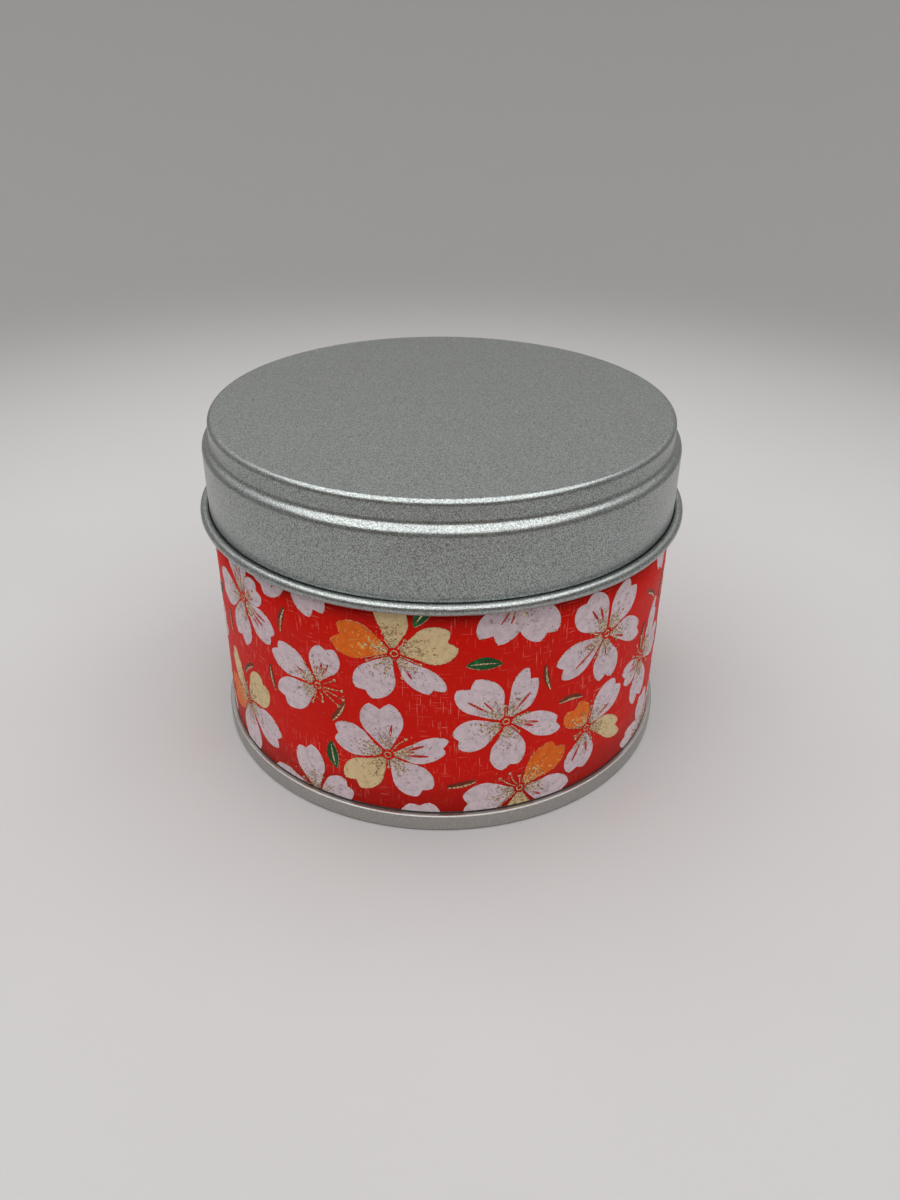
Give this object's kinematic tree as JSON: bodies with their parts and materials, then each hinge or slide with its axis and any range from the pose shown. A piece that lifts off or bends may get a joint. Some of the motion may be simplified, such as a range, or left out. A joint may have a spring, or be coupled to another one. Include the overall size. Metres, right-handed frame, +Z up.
{
  "type": "candle tin",
  "caption": "Empty round slip-lid candle tin with a stepped lift-off lid, a curled lid edge, a seamed base and a paper band.",
  "frame": {"origin": "centre of the tin's base, on the surface it stands on", "axes": "+Z up along the tin's axis; -Y is the front; the side seam and the paper's lap are at +Y"},
  "size_m": [0.08, 0.08, 0.056],
  "materials": {
    "lid_tinplate": "satin tinplate with a clear lacquer",
    "body_tinplate": "satin tinplate",
    "sealing_compound": "matt",
    "printed_paper": "screen-printed long-fibre paper",
    "paste": "dried paste"
  },
  "bodies": {
    "tin": {"body_shell": "body_tinplate", "base_end": "body_tinplate", "seam_compound": "sealing_compound", "paper_band": "printed_paper", "band_glue": "paste"},
    "lid": {"lid_shell": "lid_tinplate"}
  },
  "joints": [
    {"name": "lid_lift", "type": "slide", "parent": "tin", "child": "lid", "axis": [0, 0, 1], "range_m": [0, 0.08]}
  ]
}
